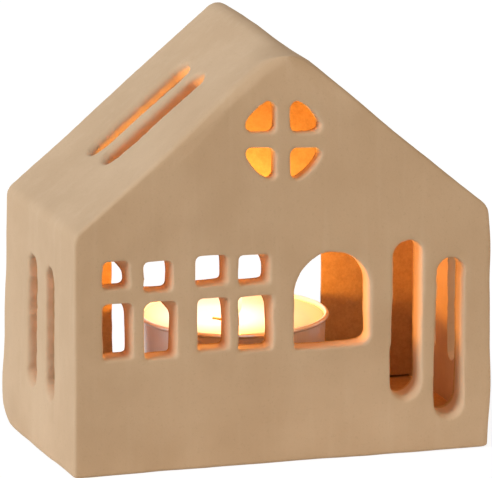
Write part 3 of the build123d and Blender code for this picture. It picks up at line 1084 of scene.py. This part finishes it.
def wax_finish():
    """Wax, wet where it has melted, with a dark base colour: its pale look is painted light, an emission
    that stands in for the flame's light on it, white near the wick and darker and more orange towards the
    cup.
    """
    finish = Finish(bpy.data.materials.new("candle_wax"))
    place = finish.place()
    flat = finish.stretched(place, (1, 1, 0), tuple(CUP_CENTRE + BRIGHT_SPOT))
    reach = finish.add("ShaderNodeVectorMath", {0: flat}, operation="LENGTH")["Value"]
    cloud = finish.noise(place, 6 * MM, 3)
    melted = 1 - finish.ramp(reach, 0.7 * WAX_RADIUS, 0.95 * WAX_RADIUS)
    colour = finish.blend(cloud, (0.18, 0.12, 0.10), (0.21, 0.14, 0.11))
    # Colours of the painted light on the wax, from white in the middle out over the pool to orange at its
    # rim and on its wall by the cup
    middle, pool = (1.0, 0.96, 0.88), (0.96, 0.66, 0.34)
    rim, wall = (0.80, 0.44, 0.17), (0.70, 0.33, 0.10)
    stops = ((0.0, middle), (0.3, middle), (0.62, pool), (0.9, rim), (1.0, wall))
    # Painted light: emission in place of the flame's light on the wax, fading with the distance from the
    # bright spot
    painted_glow = finish.add("ShaderNodeValToRGB", {0: reach / GLOW_REACH}, stops=stops)[0]
    rough = 0.5 - 0.3 * melted
    normal = finish.bump(cloud, 0.1, 0.2 * MM)
    inputs = {"Base Color": colour, "Roughness": rough, "Normal": normal, "Specular IOR Level": 0.02}
    inputs |= {"Subsurface Weight": 0.3, "Subsurface Scale": 2 * MM, "Subsurface Radius": (1.0, 0.6, 0.3)}
    inputs |= {"Emission Color": painted_glow, "Emission Strength": 1.0}
    finish.surface(inputs)
    return finish.owner


def wick_finish():
    """Cotton, waxed below, and charred brown where it comes out of the wax."""
    finish = Finish(bpy.data.materials.new("wick_cotton"))
    place = finish.place()
    height = finish.add("ShaderNodeSeparateXYZ", {0: place})["Z"]
    fibre = finish.noise(finish.stretched(place, (1, 1, 0.3)), 0.3 * MM, 3)
    top = CUP_CENTRE.z + POOL_TOP
    charred = finish.ramp(height + 0.2 * MM * fibre, top - 0.4 * MM, top + 0.1 * MM)
    cotton = finish.blend(fibre, (0.62, 0.52, 0.38), (0.82, 0.74, 0.60))
    char = finish.blend(fibre, (0.03, 0.016, 0.009), (0.10, 0.055, 0.032))
    colour = finish.blend(charred, cotton, char)
    normal = finish.bump(fibre, 0.5, 0.1 * MM)
    finish.surface({"Base Color": colour, "Roughness": 0.7 + 0.25 * charred, "Normal": normal})
    return finish.owner


def plate_finish():
    """Tinned steel with fine rolling marks."""
    finish = Finish(bpy.data.materials.new("tinned_steel"))
    place = finish.place()
    marks = finish.noise(finish.stretched(place, (0.1, 1, 1)), 0.3 * MM, 3)
    colour = finish.blend(marks, (0.62, 0.62, 0.63), (0.74, 0.74, 0.74))
    finish.surface({"Base Color": colour, "Metallic": 1.0, "Roughness": 0.3 + 0.15 * marks})
    return finish.owner


def flame_finish():
    """Flame: pale yellow, more orange at its foot and at its tip."""
    finish = Finish(bpy.data.materials.new("flame"))
    height = finish.add("ShaderNodeSeparateXYZ", {0: finish.place()})["Z"]
    rise = finish.ramp(height, flame_foot().z, flame_foot().z + FLAME_HEIGHT)
    foot, low = (0.95, 0.60, 0.30), (1.0, 0.76, 0.40)
    middle, tip = (1.0, 0.86, 0.52), (1.0, 0.62, 0.20)
    stops = ((0.0, foot), (0.12, low), (0.45, middle), (1.0, tip))
    colour = finish.add("ShaderNodeValToRGB", {0: rise}, stops=stops)[0]
    inputs = {"Base Color": (0, 0, 0, 1), "Roughness": 1.0, "Specular IOR Level": 0.0}
    inputs |= {"Emission Color": colour, "Emission Strength": 1.6}
    finish.surface(inputs)
    return finish.owner


clay_slabs(clay_finish())
foil_cup(foil_finish())
candle_wax(wax_finish())
wick(wick_finish())
wick_sustainer(plate_finish())
flame(flame_finish())


# Light, floor and camera

# Two lamps in the flame, one of them a spot that shines upwards, at shares of its height
FLAME_LIGHT = 0.068
FLAME_LIGHT_COLOUR = (1.0, 0.41, 0.06)
FLAME_LIGHT_HEIGHT = 0.42
FLAME_TIP_LIGHT = 0.052
FLAME_TIP_COLOUR = (1.0, 0.60, 0.14)
FLAME_TIP_HEIGHT = 1.3
FLAME_LIGHT_RADIUS = 2.2 * MM
SPOT_SPREAD = math.radians(160)
SPOT_SOFTNESS = 0.5

# Daylight from the left, warm fill from the right, and pale light from all round
KEY_STRENGTH = 0.64 * math.pi
KEY_COLOUR = (1, 1, 1)
KEY_FROM = (-0.87, -0.20, 0.45)
KEY_SPREAD = 30
FILL_STRENGTH = 0.26 * math.pi
FILL_COLOUR = (1.0, 0.68, 0.32)
FILL_FROM = (0.62, -0.74, 0.27)
FILL_SPREAD = 50
SKY = 0.26

FLOOR_SIZE = 6.0
FLOOR_GAP = 0.02 * MM
FLOOR_PAPER = 0.8
FLOOR_WHITE = 0.88
SHADOW_SHARE = 0.25

CAMERA_PLACE = Vector((-427.0, -1297.1, 368.0)) * MM
CAMERA_AIM = Vector((0.0, 0.0, 41.0)) * MM
CAMERA_LENS = 503.3
SENSOR_WIDTH = 36


def candle_light(name, kind, strength, colour, share):
    """Light of the flame at a share of its height, which goes where the candle goes."""
    lamp = bpy.data.lights.new(name, kind)
    lamp.energy = strength
    lamp.color = colour
    lamp.shadow_soft_size = FLAME_LIGHT_RADIUS
    if kind == "SPOT":
        lamp.spot_size = SPOT_SPREAD
        lamp.spot_blend = SPOT_SOFTNESS
    piece = bpy.data.objects.new(name, lamp)
    bpy.context.scene.collection.objects.link(piece)
    piece.location = flame_foot() + Vector((0, 0, share * FLAME_HEIGHT))
    piece.rotation_euler = (math.pi, 0, 0)
    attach(piece, "candle")


def sun(name, strength, colour, direction, spread):
    """Broad soft light from a direction."""
    lamp = bpy.data.lights.new(name, "SUN")
    lamp.energy = strength
    lamp.color = colour
    lamp.angle = math.radians(spread)
    piece = bpy.data.objects.new(name, lamp)
    bpy.context.scene.collection.objects.link(piece)
    piece.rotation_euler = Vector(direction).to_track_quat("Z", "Y").to_euler()


def seen_directly(finish):
    """1 where the camera, a mirror or a glass looks straight at a surface."""
    rays = finish.add("ShaderNodeLightPath")
    return (rays["Is Camera Ray"] + rays["Is Glossy Ray"] + rays["Is Transmission Ray"]).clamped()


def sky():
    """Even pale light from all round, white where it is seen."""
    world = bpy.data.worlds.new("studio")
    bpy.context.scene.world = world
    finish = Finish(world)
    strength = SKY + (1 - SKY) * seen_directly(finish)
    light = finish.add("ShaderNodeBackground", {"Color": (1, 1, 1, 1), "Strength": strength})
    finish.add("ShaderNodeOutputWorld", {"Surface": light[0]})


def studio_floor():
    """White floor that keeps a faint shadow."""
    bm = bmesh.new()
    bmesh.ops.create_grid(bm, x_segments=1, y_segments=1, size=FLOOR_SIZE / 2)
    moved(bm, (0, 0, -FLOOR_GAP))
    finish = Finish(bpy.data.materials.new("studio_floor"))
    paper = finish.add("ShaderNodeBsdfDiffuse", {"Color": rgba([FLOOR_PAPER] * 3)})
    shaded = finish.add("ShaderNodeBsdfDiffuse", {"Color": rgba([SHADOW_SHARE] * 3)})
    white = finish.add("ShaderNodeEmission", {"Color": (1, 1, 1, 1), "Strength": FLOOR_WHITE})
    lifted = finish.add("ShaderNodeAddShader", {0: shaded[0], 1: white[0]})
    mixed = finish.add("ShaderNodeMixShader", {0: seen_directly(finish), 1: paper[0], 2: lifted[0]})
    finish.add("ShaderNodeOutputMaterial", {"Surface": mixed[0]})
    new_object("studio_floor", bm, finish.owner)


def camera():
    """Camera at the photograph's place, looking a little down from the left."""
    lens = bpy.data.cameras.new("camera")
    lens.sensor_fit = "HORIZONTAL"
    lens.sensor_width = SENSOR_WIDTH
    lens.lens = CAMERA_LENS
    piece = bpy.data.objects.new("camera", lens)
    bpy.context.scene.collection.objects.link(piece)
    piece.location = CAMERA_PLACE
    piece.rotation_euler = (CAMERA_PLACE - CAMERA_AIM).to_track_quat("Z", "Y").to_euler()
    bpy.context.scene.camera = piece


candle_light("candle_light", "POINT", FLAME_LIGHT, FLAME_LIGHT_COLOUR, FLAME_LIGHT_HEIGHT)
candle_light("candle_light_tip", "SPOT", FLAME_TIP_LIGHT, FLAME_TIP_COLOUR, FLAME_TIP_HEIGHT)
sun("key", KEY_STRENGTH, KEY_COLOUR, KEY_FROM, KEY_SPREAD)
sun("fill", FILL_STRENGTH, FILL_COLOUR, FILL_FROM, FILL_SPREAD)
sky()
studio_floor()
camera()
bpy.context.scene.view_settings.view_transform = "Standard"
